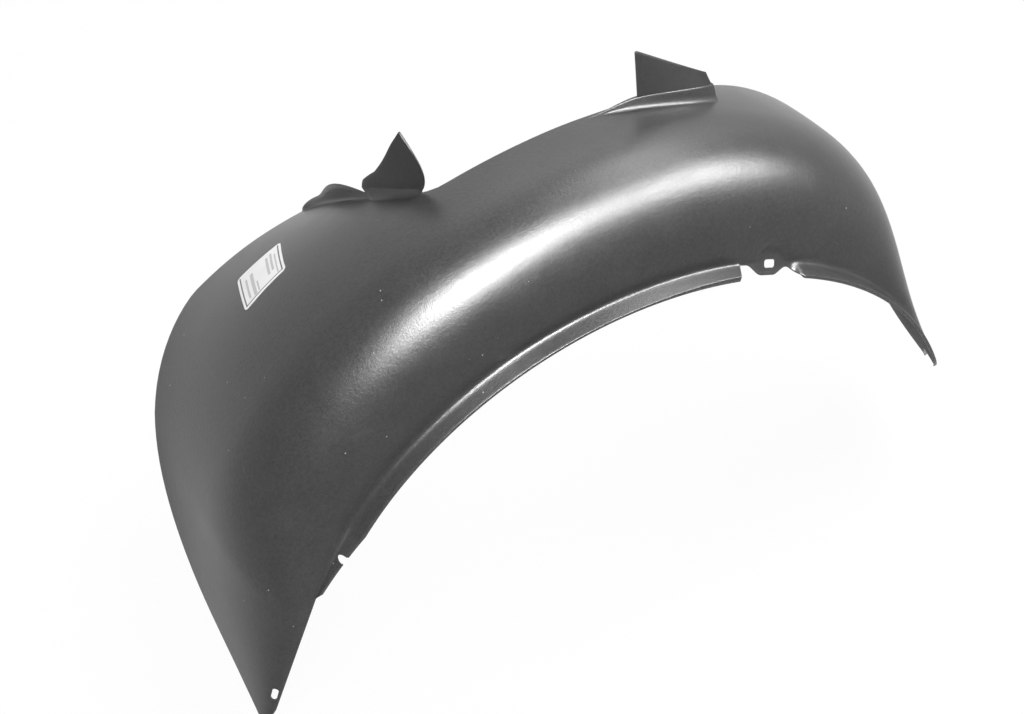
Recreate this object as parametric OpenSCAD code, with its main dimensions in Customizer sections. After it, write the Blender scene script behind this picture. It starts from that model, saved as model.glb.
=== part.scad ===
// Inner fender panel: a thin moulded wheel arch liner with an outboard lip, a fixing tab,
// an upright tab, a leaf tab and a slotted tail, and a small label on its rear shoulder.
// Arch frame: x runs to the nose, y runs inboard, z is up, and the arch centre is the zero point.
// The model is then moved so that the centre of the clip hole is the origin.

/* [Arch] */
// Radius of the outboard edge of the arch
arch_r = 342; // [320:1:370]
// Angle at which the outboard edge meets the nose cut
nose_from = 23; // [20:1:30]
// Angle at which the arch runs out into the straight tail
tail_from = 160; // [155:1:165]
// Angle measure of the tail tip, counted along the straight as if it were arc
tail_to = 188; // [184:0.5:192]
// Thickness of the sheet
sheet = 2; // [1.6:0.1:2.4]

/* [Section stations] */
// Distance from the outboard edge at which the wall has rolled over into the crown, at each station
wall_end = [267, 289, 140, 116, 101, 107, 137, 177];
// How high the wall stands there, at each station
wall_rise = [160.5, 1, 71.5, 96, 92, 85, 43.5, -17.5];
// How much higher than that the crown lies over the arch
crown_lift = 14; // [12:0.5:16]
// How much higher still it lies at the rear
rear_lift = 4; // [3:0.5:5]
// How far the inboard side rolls up or down, at each station
crown_roll = [63.5, 51.5, -14, -39, -43.5, -24, 8, 56];
// Fullness of the corner between wall and crown, 2 being a plain ellipse
wall_power = 2.3; // [2:0.1:2.8]
// Fullness of the roll of the inboard side
roll_power = 2.5; // [2:0.1:3]
// Distance from the outboard edge at which the roll starts
roll_from = 4; // [2:0.5:6]
// Depth at which the roll reaches its full value
roll_reach = 200; // [180:5:220]

/* [Width] */
// Width of the panel over the crown
crown_w = 154.5; // [145:0.5:165]
// Extra width over the nose
nose_extra = 53.5; // [30:0.5:60]
// Half the angle over which the nose is wider
nose_reach = 39.5; // [36:0.5:43]
// Width of the rear shoulder
shoulder_w = 337; // [280:1:350]
// Angle at which the shoulder starts to widen
widen_from = 108; // [104:1:110]
// Angle at which the shoulder has its full width
widen_to = 128; // [126:1:132]
// Angle at which the tail starts to taper
taper_from = 146.5; // [143:0.5:150]
// Bulge of the tail taper, 1 being straight
taper_power = 1.37; // [1.1:0.01:1.6]
// Width of the tail just before its round end
tip_w = 8; // [6:0.5:16]
// Where the round end of the tail starts
tail_round = 184; // [183:0.5:185]
// Angle of the nose end
nose_to = 13.7; // [12:0.1:15]
// How far the nose cut runs inboard before the end
nose_cut = 58; // [50:1:66]
// Bulge of the nose cut, 1 being straight
nose_power = 2.9; // [2.4:0.1:3.2]
// Angle of the tip of the small vee in the nose cut
nose_vee_at = 22.1; // [21.5:0.1:22.5]
// Distance of the tip of the vee from the outboard edge
nose_vee_in = 16.2; // [14:0.1:20]
// Length of the vee
nose_vee_l = 60; // [50:1:70]

/* [Flange] */
// Width of the outboard flange at the nose and along the tail
flange_nose = 2.3; // [2.1:0.1:3]
// Width of the outboard flange over the arch
flange_crown = 15; // [13:0.5:17]
// Height of the foot of the wall at the nose
foot_nose = 3; // [3:0.5:5]
// Height of the foot of the wall over the arch
foot_crown = 8; // [6:0.5:10]
// Height of the foot of the wall at the rear
foot_rear = 9.5; // [8:0.5:11]
// Height of the down-turned outboard edge
drop_h = 3; // [2.5:0.25:3.5]
// Extra height of that edge where the rear flange ends square
drop_extra = 3; // [1:0.5:4]
// Angle at which the rear flange starts to run out
runout_from = 147.5; // [145:0.5:149]
// Angle at which the rear flange has run out
runout_to = 161; // [158:0.5:164]
// How far the outboard edge rises in the run-out
edge_rise = 18; // [15:0.5:20]

/* [Fixing tab] */
// Angle of the clip hole along the arch
clip_at = 69.9; // [69.5:0.05:70.5]
// Height of the clip hole above the arch radius
clip_up = 6.1; // [5:0.1:7]
// Lean of the fixing tab away from upright
pad_lean = 32; // [25:1:38]
// Radius of the flat pad around the clip hole
pad_r = 12; // [10:0.5:13]
// Width of the soft step around the pad
pad_soft = 8; // [6:0.5:10]
// Length of the clip hole along the arch
clip_w = 13; // [10:0.5:14]
// Height of the clip hole
clip_h = 7.5; // [7:0.5:9]
// Corner radius of the clip hole
clip_corner = 2.5; // [1:0.5:4]
// Distance from the clip hole to the square end of the rear flange
lip_rear_end = 38.5; // [36:0.5:40]
// How far the square end slants towards the nose over the width of the flange
end_slant = 6; // [4:0.5:7]
// Distance from the clip hole to the end of the nose flange
lip_nose_end = 44; // [42:0.5:46]
// Height of the notch on the rear side of the tab
notch_rear_h = 9.4; // [8:0.1:11]
// Height of the notch on the nose side of the tab
notch_nose_h = 6.8; // [5:0.1:8]
// Distance from the clip hole down to the lower edge of the tab
tab_low = 10.3; // [9.5:0.1:11]
// How much the outline of the tab slants towards the nose over its height
tab_slant = 0.44; // [0:0.02:0.6]
// Distance from the clip hole to the top of the rear notch
notch_rear_at = 26; // [25:0.5:27]
// Distance from the clip hole to the top of the nose notch
notch_nose_at = 19.5; // [19:0.5:21]

/* [Rear notch and tail slot] */
// Angle of the round notch in the rear lip
rear_notch_at = 151.8; // [150:0.1:154]
// Height of the centre of the round notch above the arch radius
rear_notch_up = 11; // [8:0.5:13]
// Radius of the round notch
rear_notch_r = 4.5; // [3:0.5:6]
// Where the tail slot sits, as an angle measure
slot_at = 180.4; // [179:0.1:182]
// Distance of the tail slot from the outboard edge
slot_in = 4; // [3.5:0.5:6]
// Width of the tail slot
slot_w = 6; // [4:0.5:7]
// Length of the tail slot
slot_l = 15; // [11:0.5:17]

/* [Inboard edge] */
// Width of the plain rim along the inboard edge
rim_w = 6; // [5:0.5:8]
// Height of the turned-up lobe beside the leaf tab
lobe_h = 19; // [14:0.5:24]
// Angle of the lobe
lobe_at = 118.8; // [118:0.1:119]
// Half the angle that the peak of the lobe takes
lobe_reach = 3.7; // [3.5:0.1:4.5]
// Angle of the middle of the low part of the lobe
lobe_low_at = 121.2; // [120.8:0.1:121.6]
// Half the angle that the low part takes
lobe_low_reach = 5.7; // [5.4:0.1:6.2]

/* [Upright tab] */
// Angle of the nose end of the upright tab
upright_from = 72.4; // [71.5:0.1:73.5]
// Angle of the rear end of the upright tab
upright_to = 83.3; // [82:0.1:85]
// Angle at which the riser below the tab runs out
riser_to = 92; // [90:0.5:94]
// Height of the riser below the tab
riser_h = 14; // [8:0.5:18]
// How far the riser leans inboard over its height
riser_lean = 5; // [2:0.5:8]
// Distance of the riser from the inboard edge at its nose end
riser_in = 40; // [34:1:44]
// Distance of the riser from the inboard edge where it runs out
riser_out = 4; // [3:0.5:6]
// Height of the upright tab at its rear end
upright_h = 52; // [30:1:60]
// Height of the upright tab at its nose end
upright_end_h = 17; // [12:1:24]
// How far the riser's nose end slopes back over its height, as an angle
riser_skew = 0.8; // [0:0.1:1.5]
// How far the nose end of the tab slopes back
upright_slope = 10; // [4:1:14]
// How far the rear end of the tab leans out
upright_lean = 5; // [0:1:8]
// Thickness of the two tabs on the inboard edge
tab_t = 2; // [1.6:0.1:2.4]
// How deep the tabs run into the sheet
tab_root = 7; // [6:0.5:9]

/* [Leaf tab] */
// Angle of the rear foot of the leaf tab
leaf_from = 116.1; // [115:0.1:117]
// Angle of the nose foot of the leaf tab
leaf_to = 110.9; // [110:0.1:111.9]
// Height of the tip of the leaf tab above its rear foot
leaf_h = 95; // [80:1:100]
// Distance of the tip from the rear flank of the leaf tab
leaf_w = 41.5; // [36:0.5:46]
// How far the nose flank of the leaf tab bulges past its tip
leaf_bulge = 27.5; // [22:0.5:32]

/* [Label] */
// Width of the label along the panel
label_w = 54; // [40:1:60]
// Depth of the label across the panel
label_d = 69; // [50:1:72]
// Corner radius of the label
label_corner = 5; // [2:0.5:8]
// Thickness of the label
label_t = 0.3; // [0.2:0.05:0.5]
// Where the label sits along the panel
label_at = 133.3; // [131:0.1:136]
// How far inboard the middle of the label sits
label_in = 238.5; // [230:0.5:245]
// Turn of the label on the panel
label_turn = 0; // [-10:1:10]

/* [Hidden] */
black = "#34363a";
white = "#f2f2ef";
deg = PI / 180;
along = arch_r * deg;

// Angle of the first station and the step from one to the next
station_from = -10;
station_step = 30;
// Angles between which the flange, the foot and the crown grow from the nose to the arch
flange_span = [28, 62];
foot_span = [28, 60];
crown_span = [28, 66];
// Angles between which foot and crown grow towards the rear
rear_span = [95, 120];
// Middle of the wider part of the nose
nose_wide_at = 50;
// Angle by which the deeper edge of the rear flange has thinned out
drop_end = 93;

// Columns and rows of the sheet
column_step = 2.3;
wall_rows = 20;
rim_rows = 3;
row_last = 2 + wall_rows + rim_rows;
row_power = 2.7;
tall_wall = 60;
tip_cut = 0.8;
end_columns = [-1.5, -0.75, 0];
tab_columns = [-3.4, -2.5, -1.7, -0.9, 0, 0.9, 1.7, 2.5, 3.4, 5.2];
tip_columns = [0.35, 0.65, 0.85, 1];

// Fixing tab: its axes, its centre, and where the flanges end on both sides of it
clip_r = arch_r + clip_up;
clip_point = [
  clip_r * cos(clip_at),
  flange_crown + (clip_up - foot_crown) * tan(pad_lean),
  clip_r * sin(clip_at)];
pad_u = [sin(clip_at), 0, -cos(clip_at)];
pad_out = [sin(pad_lean) * cos(clip_at), -cos(pad_lean), sin(pad_lean) * sin(clip_at)];
pad_v = cross(pad_u, -pad_out);
pad_below = 5;
nose_run = 25;
end_gap = 0.7;
end_turn = 1.5;
step_nose = clip_at - nose_run / along;
step_rear = clip_at + (lip_rear_end - end_slant + end_gap) / along;
// Run of the lowest edge of the tab on both sides of the hole
tab_flat = [4, 9];
// Fall of the edge beyond the nose notch, and room for the cut below the tab
tab_fall = 8;
cut_below = 16;
// Length of the cuts
cut_y = 30;

// Inboard edge: where the lobe starts, how it leans and how full its low part is
lobe_from = 112;
lobe_turn = [0.6, 0.8];
lobe_fullness = 0.25;
// Share of its height that the riser loses along the upright tab
riser_loss = 0.25;
// Mesh of the riser and of the upright tab
riser_steps = 14;
riser_rows = [-0.35, 0, 0.5, 1];
tab_steps = 8;
// Leaf tab: flare of its rear foot, height where the rear flank starts, swell of that flank
leaf_flare = [-3, 4];
leaf_start = 0.18;
leaf_swell = 2;
leaf_top_at = 0.96;
leaf_turn = 145;
leaf_low = 0.3;

// Plain curves
function clamp(x, low, high) = max(low, min(high, x));
function smooth(x) = let (c = clamp(x, 0, 1)) c * c * (3 - 2 * c);
function ramp(t, from, to) = smooth((t - from) / (to - from));
function grown(t, span) = ramp(t, span[0], span[1]);
function bell(t, middle, reach) = pow(max(0, 1 - pow((t - middle) / reach, 2)), 2);

// Smooth run through the values of the stations
function through(list, t) =
  let (last = len(list) - 1,
       x = clamp((t - station_from) / station_step, 0, last - 0.000001),
       i = floor(x),
       u = x - i,
       b = list[i],
       c = list[i + 1],
       a = i > 0 ? list[i - 1] : 2 * b - c,
       d = i + 2 <= last ? list[i + 2] : 2 * c - b)
  (2 * b + (c - a) * u + (2 * a - 5 * b + 4 * c - d) * u * u
    + (3 * b - a - 3 * c + d) * u * u * u) / 2;

// The outboard edge line: an arc, then its tangent. Angles past the arc count as length.
function bend(t) = clamp(t, 0, tail_from);
function outward(t) = [cos(bend(t)), 0, sin(bend(t))];
function ahead(t) = [-sin(bend(t)), 0, cos(bend(t))];
function line_at(t) = arch_r * outward(t) + along * (t - bend(t)) * ahead(t);
function place(t, q) = line_at(t) + [0, q[0], 0] + q[1] * outward(t);

// Widths and heights that change along the arch
function mix(a, b, x) = a + (b - a) * x;
function run_out(t) = clamp((t - runout_from) / (runout_to - runout_from), 0, 1);
function flange(t) = mix(mix(flange_nose, flange_crown, grown(t, flange_span)), flange_nose, run_out(t));
function low(t) = edge_rise * run_out(t);
function drop(t) =
  drop_h + drop_extra * ramp(t, step_rear - 1, step_rear) * (1 - ramp(t, step_rear, drop_end));
function crown_top(t) =
  foot_nose + through(wall_rise, t) + crown_lift * grown(t, crown_span) + rear_lift * grown(t, rear_span);
function foot(t) = mix(
  foot_nose + (foot_crown - foot_nose) * grown(t, foot_span)
    + (foot_rear - foot_crown) * grown(t, rear_span),
  edge_rise + drop_h, run_out(t));
function taper(t) = 1 - pow(clamp((t - taper_from) / (tail_to - taper_from), 0, 1), taper_power);
function full_w(t) =
  tip_w + (crown_w - tip_w + nose_extra * bell(t, nose_wide_at, nose_reach)
    + (shoulder_w - crown_w) * ramp(t, widen_from, widen_to)) * taper(t);
function roundness(t) = sqrt(1 - pow(clamp((t - tail_round) / (tail_to - tail_round), 0, tip_cut), 2));
function outer_y(t) = full_w(t) * (1 + roundness(t)) / 2;
function nose_in(t) = nose_cut * pow(clamp((nose_from - t) / (nose_from - nose_to), 0, 1), nose_power);
function inner_y(t) = nose_in(t) + full_w(t) * (1 - roundness(t)) / 2;
function rim(t) = min(rim_w, (outer_y(t) - inner_y(t)) / 4);
function lobe(t) =
  lobe_h / 2 * (bell(t, lobe_at, lobe_reach) + pow(bell(t, lobe_low_at, lobe_low_reach), lobe_fullness));

// Height of the moulded surface above the edge line
function wall(t, y) =
  let (x = clamp((y - flange(t)) / (through(wall_end, t) - flange(t)), 0, 1))
  pow(1 - pow(1 - x, wall_power), 1 / wall_power);
function roll(t, y) = pow(max(0, (y - roll_from) / roll_reach), roll_power);
function height(t, y) =
  mix(foot(t), crown_top(t), wall(t, y)) + through(crown_roll, t) * roll(t, y);

// Between the two flanges the sheet runs straight down the slope of the fixing tab
function at_tab(t) = ramp(t, step_nose - end_turn, step_nose) * (1 - ramp(t, step_rear - 0.1, step_rear));
function edge_row(t, part) =
  let (f = at_tab(t),
       v = foot(t) - (1 - part) * (foot(t) + pad_below))
  [mix(0, flange(t) + (v - foot(t)) * tan(pad_lean), f), mix(low(t) + part * 2 * drop(t), v, f)];

// The pad around the clip hole is flat
function flat(p) =
  let (d = p - clip_point,
       away = d * pad_out,
       u = d * pad_u,
       v = d * pad_v)
  p - (1 - smooth((sqrt(u * u + v * v) - pad_r) / pad_soft)) * away * pad_out;

// One section: outboard edge, flange, wall and crown, then the rim of the inboard edge
function spaced(t, f) = pow(f, 1 + (row_power - 1 - f) * clamp((crown_top(t) - foot(t)) / tall_wall, 0, 1));
function main_row(t, k) =
  let (from = inner_y(t) + flange(t),
       y = from + (outer_y(t) - rim(t) - from) * spaced(t, k / wall_rows))
  [y, height(t, y)];
function rim_row(t, f) =
  let (y = outer_y(t) - rim(t) * (1 - f),
       turn = lobe(t) * f * f)
  [y, height(t, y)] + turn * lobe_turn;
function section(t) =
  let (e = inner_y(t),
       shift = [e, height(t, e + flange(t)) - foot(t)])
  concat([for (part = [0, 0.5]) edge_row(t, part) + shift],
         [for (k = [0:wall_rows]) main_row(t, k)],
         [for (k = [1:rim_rows]) rim_row(t, k / rim_rows)]);

// Offset of a section by a thickness, with mitred corners
function unit(v) = v / norm(v);
function side(a, b) = let (d = unit(b - a)) [d[1], -d[0]];
function mitre(p, j) =
  let (n = len(p) - 1,
       a = side(p[max(0, j - 1)], p[max(1, j)]),
       b = side(p[min(n - 1, j)], p[min(n, j + 1)]))
  (a + b) / (1 + a * b);
function shifted(p, by) = [for (j = [0:len(p) - 1]) p[j] + by * mitre(p, j)];

columns = concat(
  [for (t = [nose_to:column_step / 4:nose_to + 2]) t],
  [for (t = [nose_to + 3:column_step / 2:nose_from]) t],
  [for (t = [nose_from + 1:column_step:step_nose - 2]) t],
  [for (d = end_columns) step_nose + d],
  [for (d = tab_columns) clip_at + d],
  [step_rear - 0.1, step_rear],
  [for (t = [step_rear + 1.5:column_step:lobe_from]) t],
  [for (t = [lobe_from + 1:column_step / 2:lobe_from + 16]) t],
  [for (t = [lobe_from + 18:column_step:tail_round]) t],
  [for (f = tip_columns) tail_round + (tail_to - tail_round) * f * tip_cut]);

// A closed sheet between two lists of sections
function quad(a, b, c, d) = [[a, c, b], [a, d, c]];
function sheet_faces(m, n) =
  let (s = m * n)
  concat(
    [for (i = [0:m - 2], j = [0:n - 2])
      each quad(i * n + j, i * n + j + 1, (i + 1) * n + j + 1, (i + 1) * n + j)],
    [for (i = [0:m - 2], j = [0:n - 2])
      each quad(s + i * n + j, s + (i + 1) * n + j, s + (i + 1) * n + j + 1, s + i * n + j + 1)],
    [for (i = [0:m - 2]) each quad(i * n, (i + 1) * n, s + (i + 1) * n, s + i * n)],
    [for (i = [0:m - 2])
      each quad(i * n + n - 1, s + i * n + n - 1, s + (i + 1) * n + n - 1, (i + 1) * n + n - 1)],
    [for (j = [0:n - 2]) each quad(j, s + j, s + j + 1, j + 1)],
    [for (j = [0:n - 2])
      each quad(s - n + j, s - n + j + 1, s + s - n + j + 1, s + s - n + j)]);

function placed(t, q, by) = flat(place(t, q) + by * pad_out) - by * pad_out;

module skin(stations, j_from, j_to, lower, upper) {
  rows = [for (t = stations) section(t)];
  under = [for (i = [0:len(rows) - 1], p = [shifted(rows[i], lower)], j = [j_from:j_to])
    placed(stations[i], p[j], lower)];
  over = [for (i = [0:len(rows) - 1], p = [shifted(rows[i], upper)], j = [j_from:j_to])
    placed(stations[i], p[j], upper)];
  polyhedron(concat(over, under), sheet_faces(len(stations), j_to - j_from + 1), convexity = 8);
}

module rounded_rectangle(w, h, r) {
  square([w, h - 2 * r], center = true);
  square([w - 2 * r, h], center = true);
  for (x = [-1, 1], y = [-1, 1]) translate([x * (w / 2 - r), y * (h / 2 - r)]) circle(r, $fn = 32);
}

// Cuts square to the pad: x runs along the arch and y up the pad from the clip hole
module through_pad() {
  multmatrix([for (r = [0:2]) [pad_u[r], pad_v[r], pad_out[r], clip_point[r]]])
    linear_extrude(cut_y * 2, center = true) children();
}

// Lower outline of the fixing tab and its notches, over the run u from the clip hole
function tab_edge(u) =
  (u < tab_flat[0]
    ? notch_rear_h * ramp(-u, tab_flat[0], notch_rear_at)
    : notch_nose_h * ramp(u, tab_flat[1], notch_nose_at)
      - (notch_nose_h + tab_fall) * ramp(u, notch_nose_at, lip_nose_end + tab_fall))
  - tab_low;
function tab_point(u) =
  let (v = tab_edge(u))
  [u + tab_slant * v, v];
module tab_notches() {
  low_v = -tab_low - cut_below;
  through_pad()
    polygon(concat([[-lip_rear_end - end_slant, low_v],
                    [end_slant - lip_rear_end, tab_edge(-notch_rear_at)]],
                   [for (u = [-notch_rear_at:3:lip_nose_end]) tab_point(u)],
                   [[lip_nose_end + 2, low_v]]));
}

module clip_hole() {
  through_pad() rounded_rectangle(clip_w, clip_h, clip_corner);
}

module rear_notch() {
  translate([0, cut_y, 0]) rotate([90, 0, 0]) linear_extrude(cut_y + 1)
    rotate(rear_notch_at - 90) translate([0, arch_r + rear_notch_up]) {
      circle(rear_notch_r, $fn = 48);
      translate([-rear_notch_r, -2 * rear_notch_up]) square([2 * rear_notch_r - 1, 2 * rear_notch_up]);
    }
}

// Axes of the surface at a point: along the arch, across it and out of it
function frame_at(t, y) =
  let (p = place(t, [y, height(t, y)]),
       u = unit(place(t - 1, [y, height(t - 1, y)]) - p),
       v = unit(place(t, [y + 1, height(t, y + 1)]) - p),
       w = unit(cross(v, u)))
  [u, cross(w, u), w, p];

module on_surface(t, y) {
  f = frame_at(t, y);
  multmatrix([for (r = [0:2]) [f[0][r], f[1][r], f[2][r], f[3][r]]]) children();
}

module nose_vee() {
  on_surface(nose_vee_at, nose_vee_in) linear_extrude(cut_y, center = true)
    polygon([[0, 0], [nose_vee_l, -nose_vee_l / 2], [nose_vee_l, nose_vee_l / 2]]);
}

module tail_slot() {
  on_surface(slot_at, slot_in) linear_extrude(cut_y, center = true) {
    square([slot_l - slot_w, slot_w], center = true);
    for (x = [-1, 1]) translate([x * (slot_l - slot_w) / 2, 0]) circle(slot_w / 2, $fn = 32);
  }
}

// The riser stands on the crown along this line; the upright tab goes on from its top
function riser_part(t) = (1 - riser_loss * (t - upright_from) / (upright_to - upright_from))
  * (1 - ramp(t, upright_to - 1, riser_to - 1.5));
function riser_y(t) = outer_y(t) - riser_out
  - (riser_in - riser_out) * (1 - ramp(t, upright_from, riser_to));
function skewed(t, f) =
  t + riser_skew * max(0, f) * max(0, (upright_to - t) / (upright_to - upright_from));
function riser_point(t, f) =
  let (y = riser_y(t),
       part = riser_part(t))
  place(skewed(t, f),
        [y + riser_lean * part * f, height(t, y) + (f < 0 ? f * tab_root : f * part * riser_h)]);

module standing_sheet(m, n, outer) {
  polyhedron(concat(outer, [for (p = outer) p + [0, tab_t, 0]]), sheet_faces(m, n), convexity = 4);
}

module riser() {
  run = riser_to - 2 - upright_from;
  standing_sheet(riser_steps + 1, len(riser_rows),
    [for (i = [0:riser_steps], f = riser_rows) riser_point(upright_from + run * i / riser_steps, f)]);
}

module upright_tab() {
  first = riser_point(upright_from, 1) + [-upright_slope, 0, upright_end_h];
  last = riser_point(upright_to, 1) + [-upright_lean, 0, upright_h];
  standing_sheet(tab_steps + 1, 3,
    [for (i = [0:tab_steps], f = [-1, 0, 1])
      let (s = i / tab_steps,
           low = riser_point(upright_from + (upright_to - upright_from) * s, 1))
      f > 0 ? first + s * (last - first) : low + f * [0, -0.5, 1.5]]);
}

// The leaf stands upright on the inboard edge, over the chord between two angles
function rim_point(t) = place(t, [outer_y(t), height(t, outer_y(t))]);
function leaf_rear(f) = [
  leaf_w * (f - 1 + leaf_top_at) + leaf_swell * bell(f, 0.4, 0.4),
  leaf_h * mix(leaf_start, 1, f)];
function leaf_nose(f) = [
  leaf_w * leaf_top_at + leaf_bulge * sin(leaf_turn * f),
  leaf_h * mix(1, leaf_low, f)];

module leaf_tab() {
  a = rim_point(leaf_from);
  b = rim_point(leaf_to);
  run = norm([b[0] - a[0], b[1] - a[1]]);
  translate(a) rotate([0, 0, atan2(b[1] - a[1], b[0] - a[0])])
    rotate([90, 0, 0]) linear_extrude(tab_t, center = true)
      polygon(concat([[0, -tab_root], leaf_flare], [for (f = [0:0.2:1]) leaf_rear(f)],
                     [for (f = [0.125:0.125:1]) leaf_nose(f)], [[run, b[2] - a[2] - tab_root]]));
}

module to_origin() {
  translate(-clip_point) children();
}

module panel() {
  color(black)
  to_origin()
  difference() {
    union() {
      skin(columns, 0, row_last, sheet, 0);
      riser();
      upright_tab();
      leaf_tab();
    }
    tab_notches();
    clip_hole();
    rear_notch();
    tail_slot();
    nose_vee();
  }
}

module label() {
  color(white)
  to_origin()
  intersection() {
    skin([for (t = columns) if (abs(t - label_at) < 12) t], 8, row_last - rim_rows, 0, -label_t);
    on_surface(label_at, label_in) linear_extrude(cut_y, center = true)
      rotate(label_turn) rounded_rectangle(label_w, label_d, label_corner);
  }
}

panel();
label();
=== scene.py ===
"""Looks of the inner fender panel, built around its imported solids.

The shell, its two tabs and the label are surfaces worked out with numpy from the sizes in the
sidebar panel, in millimetres about the centre of the arch. The pieces made from them are in metres,
in the part's frame. The finishes are node materials.
"""

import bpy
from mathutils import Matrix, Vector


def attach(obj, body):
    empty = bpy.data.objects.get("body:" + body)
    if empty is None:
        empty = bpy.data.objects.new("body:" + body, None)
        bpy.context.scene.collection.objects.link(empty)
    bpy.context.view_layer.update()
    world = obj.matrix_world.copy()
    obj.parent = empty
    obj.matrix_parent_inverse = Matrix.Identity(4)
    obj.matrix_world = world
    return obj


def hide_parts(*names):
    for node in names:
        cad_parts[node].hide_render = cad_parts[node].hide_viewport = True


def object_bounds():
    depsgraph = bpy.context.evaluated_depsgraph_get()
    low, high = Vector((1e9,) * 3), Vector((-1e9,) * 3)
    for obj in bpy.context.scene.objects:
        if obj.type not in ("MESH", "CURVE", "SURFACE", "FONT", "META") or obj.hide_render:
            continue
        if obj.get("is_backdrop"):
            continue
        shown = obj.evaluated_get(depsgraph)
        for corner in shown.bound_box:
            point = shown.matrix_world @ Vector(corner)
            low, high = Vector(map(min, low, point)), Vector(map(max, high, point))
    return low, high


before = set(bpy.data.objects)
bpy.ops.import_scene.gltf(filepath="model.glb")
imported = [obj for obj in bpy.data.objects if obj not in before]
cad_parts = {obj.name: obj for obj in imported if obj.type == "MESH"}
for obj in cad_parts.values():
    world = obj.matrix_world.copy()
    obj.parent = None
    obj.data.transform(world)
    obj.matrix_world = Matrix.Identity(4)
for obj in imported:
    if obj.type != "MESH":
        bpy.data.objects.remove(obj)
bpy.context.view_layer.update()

import math

import bmesh
import bpy
import numpy as np
from bpy.props import FloatProperty, FloatVectorProperty, PointerProperty
from mathutils import Matrix, Vector

bl_info = {
    "name": "Inner fender panel",
    "version": (1, 0, 0),
    "blender": (4, 5, 0),
    "location": "3D View > Sidebar > Fender panel",
    "description": "Builds a moulded wheel arch liner with its tabs, label and studio",
    "category": "Object",
}

MM = 0.001


def length(name, description, default):
    """A size in metres that a user would change."""
    return FloatProperty(name=name, description=description, default=default * MM, precision=4,
                         unit="LENGTH", subtype="DISTANCE")


def degrees(name, description, default):
    """An angle along the arch, kept as plain degrees, 0 at the nose side and 90 at the crown."""
    return FloatProperty(name=name, description=description, default=default)


def colour(name, description, default):
    """A colour that a user would change."""
    return FloatVectorProperty(name=name, description=description, default=default, size=3,
                               min=0.0, max=1.0, subtype="COLOR")


class FENDER_PG_sizes(bpy.types.PropertyGroup):
    """Sizes of the moulded shell and of what stands on it."""

    arch_radius: length("Arch radius", "Radius of the outboard edge of the arch", 342)
    sheet: length("Sheet", "Thickness of the moulded sheet", 2)
    crown_width: length("Crown width", "Width of the shell over the crown", 154.5)
    nose_extra: length("Nose extra", "Extra width over the nose", 53.5)
    shoulder_width: length("Shoulder width", "Width of the rear shoulder", 337)
    flange_width: length("Flange width", "Width of the outboard flange over the arch", 15)
    lobe_height: length("Lobe height", "Height of the turned-up lobe on the inboard edge", 19)
    riser_height: length("Riser height", "Height of the step below the upright tab", 14)
    tab_high: length("Upright tab, high end", "Height of the upright tab at its rear end", 52)
    tab_low: length("Upright tab, low end", "Height of the upright tab at its nose end", 17)
    leaf_height: length("Leaf height", "Height of the tip of the leaf tab above its rear foot", 95)
    leaf_width: length("Leaf width", "Distance of the tip from the rear flank of the leaf tab", 41.5)
    leaf_bulge: length("Leaf bulge", "How far the nose flank of the leaf tab bulges past its tip", 27.5)
    label_width: length("Label width", "Width of the label along the panel", 54)
    label_depth: length("Label depth", "Depth of the label across the panel", 69)
    label_sheet: length("Label sheet", "Thickness of the label", 0.3)
    tail_from: degrees("Tail from", "Angle at which the arch runs out into the straight tail", 160)
    nose_to: degrees("Nose end", "Angle of the nose end", 13.7)
    tail_to: degrees("Tail end", "Angle measure of the tail tip", 188)


class FENDER_PG_finish(bpy.types.PropertyGroup):
    """Colours and grain of the two finishes."""

    plastic: colour("Plastic", "Colour of the moulded plastic", (0.026, 0.0265, 0.027))
    plastic_worn: colour("Plastic, rubbed", "Colour where the plastic is rubbed", (0.075, 0.076, 0.078))
    grain: length("Grain", "Size of one grain of the moulded surface", 1.1)
    paper: colour("Label paper", "Colour of the label", (0.86, 0.86, 0.85))
    print_dark: colour("Label print, dark", "Colour of the frame lines on the label", (0.05, 0.05, 0.055))
    print_pale: colour("Label print, pale", "Colour of the plain fields on the label", (0.42, 0.42, 0.42))
    floor: colour("Floor", "Colour of the studio floor", (0.85, 0.85, 0.85))


def smooth(x):
    """Soft step: 3x squared less 2x cubed, with x held between 0 and 1."""
    c = np.clip(x, 0, 1)
    return c * c * (3 - 2 * c)


def ramp(t, start, end):
    """Soft step from 0 at start to 1 at end."""
    return smooth((t - start) / (end - start))


def bell(t, middle, reach):
    """Hump of height 1 at middle: one less the squared distance over reach, squared, and 0 past reach."""
    return np.maximum(0, 1 - ((t - middle) / reach) ** 2) ** 2


def mix(a, b, x):
    """a at x = 0 and b at x = 1, in proportion between them."""
    return a + (b - a) * x


def unit(v):
    """Each vector of an array over its length."""
    return v / np.maximum(np.linalg.norm(v, axis=-1, keepdims=True), 1e-9)


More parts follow.
